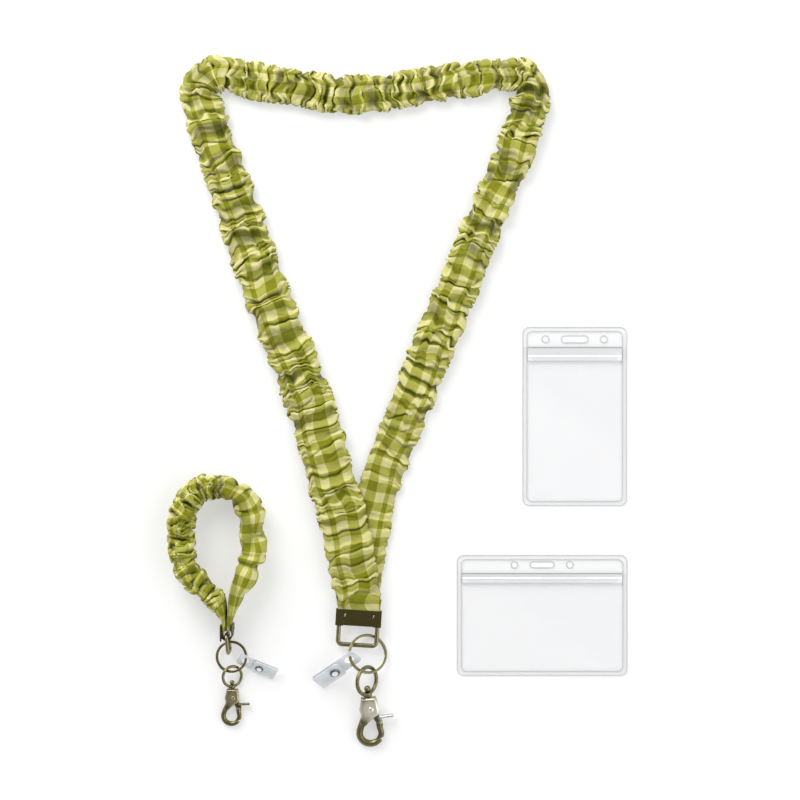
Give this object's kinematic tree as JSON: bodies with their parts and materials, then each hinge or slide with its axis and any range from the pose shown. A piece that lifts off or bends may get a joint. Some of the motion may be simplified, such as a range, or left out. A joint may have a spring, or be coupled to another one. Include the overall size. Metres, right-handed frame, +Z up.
{
  "type": "lanyard badge holder set",
  "caption": "Gathered fabric neck lanyard and matching wristlet with clamp, loop, split ring, vinyl snap clip and swivel trigger hook, plus clear upright and landscape badge pockets.",
  "frame": {"origin": "centre of the bottom of the laid-out set's bounding box, on the table", "axes": "+X right and +Y towards the top of the neck loop as the set lies, +Z up from the table"},
  "size_m": [0.2844, 0.4296, 0.0213],
  "materials": {
    "gingham_cotton": "matt woven gingham, gathered",
    "woven_elastic": "matt woven",
    "antique_bronze": "antique, satin",
    "brushed_bronze": "worn bright, satin",
    "spring_steel": "drawn wire",
    "clear_vinyl": "clear, glossy",
    "nickel": "bright",
    "pocket_vinyl": "clear, glossy"
  },
  "bodies": {
    "neck_strap": {"neck_cover": "gingham_cotton", "neck_elastic": "woven_elastic", "neck_clamp": "antique_bronze"},
    "neck_loop": {"neck_rect_loop": "antique_bronze"},
    "neck_ring": {"neck_split_ring": "antique_bronze"},
    "neck_clip": {"neck_clip_strap": "clear_vinyl", "neck_snap_stud": "nickel"},
    "neck_flap": {"neck_clip_flap": "clear_vinyl", "neck_snap_cap": "nickel"},
    "neck_eye": {"neck_swivel_eye": "antique_bronze"},
    "neck_hook": {"neck_swivel_post": "antique_bronze", "neck_hook_body": "brushed_bronze", "neck_trigger_pin": "brushed_bronze", "neck_trigger_spring": "spring_steel"},
    "neck_gate": {"neck_trigger": "antique_bronze"},
    "wrist_strap": {"wrist_cover": "gingham_cotton", "wrist_elastic": "woven_elastic", "wrist_clamp": "antique_bronze"},
    "wrist_loop": {"wrist_rect_loop": "antique_bronze"},
    "wrist_ring": {"wrist_split_ring": "antique_bronze"},
    "wrist_clip": {"wrist_clip_strap": "clear_vinyl", "wrist_snap_stud": "nickel"},
    "wrist_flap": {"wrist_clip_flap": "clear_vinyl", "wrist_snap_cap": "nickel"},
    "wrist_eye": {"wrist_swivel_eye": "antique_bronze"},
    "wrist_hook": {"wrist_swivel_post": "antique_bronze", "wrist_hook_body": "brushed_bronze", "wrist_trigger_pin": "brushed_bronze", "wrist_trigger_spring": "spring_steel"},
    "wrist_gate": {"wrist_trigger": "antique_bronze"},
    "upright_pocket": {"upright_pocket_back_sheet": "pocket_vinyl", "upright_pocket_front_sheet": "pocket_vinyl", "upright_pocket_zip_groove": "pocket_vinyl", "upright_pocket_zip_rib": "pocket_vinyl"},
    "landscape_pocket": {"landscape_pocket_back_sheet": "pocket_vinyl", "landscape_pocket_front_sheet": "pocket_vinyl", "landscape_pocket_zip_groove": "pocket_vinyl", "landscape_pocket_zip_rib": "pocket_vinyl"}
  },
  "joints": [
    {"name": "neck_loop_swing", "type": "hinge", "parent": "neck_strap", "child": "neck_loop", "pos_m": [-0.02593, -0.13603, 0.0044], "axis": [0.9981, -0.061, 0], "range_deg": [-15, 90]},
    {"name": "neck_ring_swing", "type": "hinge", "parent": "neck_loop", "child": "neck_ring", "pos_m": [-0.02685, -0.1511, 0.00432], "axis": [-0.9981, 0.061, 0], "range_deg": [0, 90]},
    {"name": "neck_clip_swing", "type": "hinge", "parent": "neck_ring", "child": "neck_clip", "pos_m": [-0.03071, -0.15942, 0.01003], "axis": [-0.3337, 0.9295, -0.1573], "range_deg": [-45, 90]},
    {"name": "neck_flap_open", "type": "hinge", "parent": "neck_clip", "child": "neck_flap", "pos_m": [-0.05069, -0.17383, 0.00445], "axis": [0.5896, -0.5663, -0.5759], "range_deg": [0, 110]},
    {"name": "neck_eye_swing", "type": "hinge", "parent": "neck_ring", "child": "neck_eye", "pos_m": [-0.02014, -0.16769, 0.00904], "axis": [-0.9572, 0.0791, 0.2783], "range_deg": [-30, 30]},
    {"name": "neck_hook_swivel", "type": "hinge", "parent": "neck_eye", "child": "neck_hook", "pos_m": [-0.01996, -0.18297, 0.0071], "axis": [-0.0643, 0.9848, 0.1613], "continuous": true},
    {"name": "neck_trigger_press", "type": "hinge", "parent": "neck_hook", "child": "neck_gate", "pos_m": [-0.01807, -0.19037, 0.00587], "axis": [-0.0105, 0.1609, -0.9869], "range_deg": [0, 18], "stiffness_Nm_per_rad": 0.01, "springref_deg": -11.46, "deforming": ["neck_trigger_spring"]},
    {"name": "wrist_loop_swing", "type": "hinge", "parent": "wrist_strap", "child": "wrist_loop", "pos_m": [-0.1072, -0.14333, 0.0108], "axis": [0, 0, 1], "range_deg": [-30, 90]},
    {"name": "wrist_ring_swing", "type": "hinge", "parent": "wrist_loop", "child": "wrist_ring", "pos_m": [-0.10604, -0.15457, 0.0108], "axis": [0, 0, -1], "range_deg": [-40, 50]},
    {"name": "wrist_clip_swing", "type": "hinge", "parent": "wrist_ring", "child": "wrist_clip", "pos_m": [-0.09602, -0.16062, 0.006], "axis": [-0.2594, -0.9657, 0.0092], "range_deg": [-45, 90]},
    {"name": "wrist_flap_open", "type": "hinge", "parent": "wrist_clip", "child": "wrist_flap", "pos_m": [-0.07833, -0.16889, 0.00375], "axis": [0.3998, 0.6969, 0.5954], "range_deg": [0, 110]},
    {"name": "wrist_eye_swing", "type": "hinge", "parent": "wrist_ring", "child": "wrist_eye", "pos_m": [-0.1047, -0.16752, 0.00524], "axis": [-0.9925, -0.03, -0.1188], "range_deg": [-40, 40]},
    {"name": "wrist_hook_swivel", "type": "hinge", "parent": "wrist_eye", "child": "wrist_hook", "pos_m": [-0.10473, -0.17819, 0.00386], "axis": [0.0269, 0.9953, 0.0934], "continuous": true},
    {"name": "wrist_trigger_press", "type": "hinge", "parent": "wrist_hook", "child": "wrist_gate", "pos_m": [-0.10385, -0.18382, 0.00334], "axis": [0.0025, 0.0934, -0.9956], "range_deg": [0, 18], "stiffness_Nm_per_rad": 0.006, "springref_deg": -11.46, "deforming": ["wrist_trigger_spring"]},
    {"name": "wristlet_lift", "type": "slide", "parent": "neck_strap", "child": "wrist_strap", "axis": [0, 0, 1], "range_m": [0, 0.15]},
    {"name": "upright_pocket_lift", "type": "slide", "parent": "neck_strap", "child": "upright_pocket", "axis": [0, 0, 1], "range_m": [0, 0.1]},
    {"name": "landscape_pocket_lift", "type": "slide", "parent": "neck_strap", "child": "landscape_pocket", "axis": [0, 0, 1], "range_m": [0, 0.1]}
  ]
}
